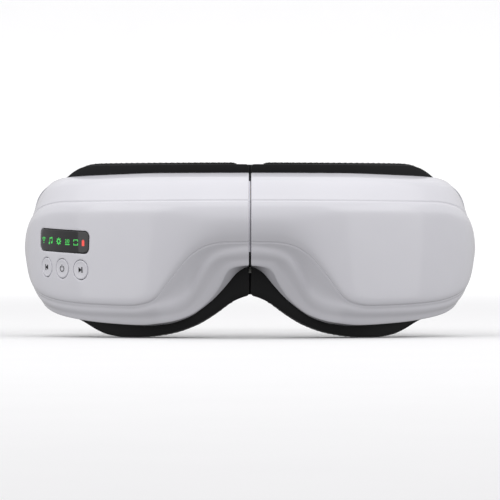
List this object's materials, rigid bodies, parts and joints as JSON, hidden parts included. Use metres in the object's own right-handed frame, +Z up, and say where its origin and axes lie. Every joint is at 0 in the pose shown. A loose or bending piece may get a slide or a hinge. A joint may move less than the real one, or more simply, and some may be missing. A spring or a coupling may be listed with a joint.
{
  "type": "folding eye massager mask",
  "caption": "Folding eye massager mask: glossy hinged shells with a display and buttons, padded face cushion with nose arch, moving massage pads, elastic head strap.",
  "frame": {"origin": "middle of the footprint, at the height of the cushion lobes it stands on", "axes": "+X across the face towards the wearer's left temple, -Y out of the shell's front, +Z up"},
  "size_m": [0.2098, 0.1548, 0.079],
  "materials": {
    "shell": "white glossy moulded shell with a faint lavender cast",
    "button": "white glossy button caps with small grey marks",
    "display": "black polished display window with lit marks",
    "frame": "fine-textured black plastic",
    "leatherette": "black synthetic leather over foam, stitched along its edge",
    "strap_fabric": "black woven elastic",
    "silicone": "dark matt silicone with massage nodes",
    "bladder": "thin welded air bladder film",
    "heating_film": "amber film with a printed heating track",
    "flex_circuit": "amber flexible circuit",
    "tube": "translucent silicone tube",
    "circuit_board": "green circuit board",
    "dark_part": "dark moulded plastic",
    "metal_case": "plain metal case",
    "steel": "plain steel"
  },
  "bodies": {
    "left_half": {"shell_left": "shell", "back_frame_left": "frame", "face_cushion_left": "leatherette", "airbag_left": "bladder", "hinge_leaf_left": "steel", "shell_screw_left_1": "steel", "shell_screw_left_2": "steel", "shell_screw_left_3": "steel", "shell_screw_left_4": "steel", "hinge_screw_left_1": "steel", "hinge_screw_left_2": "steel", "vibration_motor_left": "metal_case", "strap_pin_left": "steel", "hinge_pin": "steel", "bridge_gusset": "strap_fabric", "elastic_strap": "strap_fabric", "air_link_tube": "tube", "ribbon_cable": "flex_circuit", "display_window": "display", "display_board": "circuit_board", "main_board": "circuit_board", "speaker": "dark_part", "charging_socket": "steel", "key_board": "circuit_board", "tact_switch_next": "dark_part", "tact_switch_power": "dark_part", "tact_switch_previous": "dark_part"},
    "right_half": {"shell_right": "shell", "back_frame_right": "frame", "face_cushion_right": "leatherette", "airbag_right": "bladder", "hinge_leaf_right": "steel", "shell_screw_right_1": "steel", "shell_screw_right_2": "steel", "shell_screw_right_3": "steel", "shell_screw_right_4": "steel", "hinge_screw_right_1": "steel", "hinge_screw_right_2": "steel", "vibration_motor_right": "metal_case", "strap_pin_right": "steel", "strap_keeper": "frame", "battery": "metal_case", "pump_motor": "metal_case", "pump_head": "dark_part", "pump_tube": "tube", "release_valve": "dark_part"},
    "left_pad": {"massage_pad_left": "silicone", "heating_film_left": "heating_film"},
    "right_pad": {"massage_pad_right": "silicone", "heating_film_right": "heating_film"},
    "left_weight": {"eccentric_weight_left": "steel"},
    "right_weight": {"eccentric_weight_right": "steel"},
    "next_button": {"button_next": "button"},
    "power_button": {"button_power": "button"},
    "previous_button": {"button_previous": "button"}
  },
  "joints": [
    {"name": "fold_hinge", "type": "hinge", "parent": "left_half", "child": "right_half", "pos_m": [0, -0.04557, 0.0485], "axis": [0, 0, 1], "range_deg": [0, 115], "deforming": ["bridge_gusset", "elastic_strap", "air_link_tube", "ribbon_cable"]},
    {"name": "left_press", "type": "slide", "parent": "left_half", "child": "left_pad", "axis": [0.4185, 0.9082, 0], "range_m": [0, 0.004], "stiffness_N_per_m": 120, "deforming": ["airbag_left"]},
    {"name": "right_press", "type": "slide", "parent": "right_half", "child": "right_pad", "axis": [-0.4185, 0.9082, 0], "range_m": [0, 0.004], "stiffness_N_per_m": 120, "deforming": ["airbag_right"]},
    {"name": "next_press", "type": "slide", "parent": "left_half", "child": "next_button", "axis": [0.6337, 0.7736, 0], "range_m": [0, 0.0006], "stiffness_N_per_m": 400},
    {"name": "power_press", "type": "slide", "parent": "left_half", "child": "power_button", "axis": [0.7319, 0.6814, 0], "range_m": [0, 0.0006], "stiffness_N_per_m": 400},
    {"name": "previous_press", "type": "slide", "parent": "left_half", "child": "previous_button", "axis": [0.8257, 0.5641, 0], "range_m": [0, 0.0006], "stiffness_N_per_m": 400},
    {"name": "left_motor_spin", "type": "hinge", "parent": "left_half", "child": "left_weight", "pos_m": [-0.01102, -0.06609, 0.048], "axis": [0, 0, 1], "continuous": true},
    {"name": "right_motor_spin", "type": "hinge", "parent": "right_half", "child": "right_weight", "pos_m": [0.01102, -0.06609, 0.048], "axis": [0, 0, 1], "continuous": true}
  ],
  "couplings": [
    {"joint": "right_press", "follows": "left_press", "ratio": 1}
  ]
}
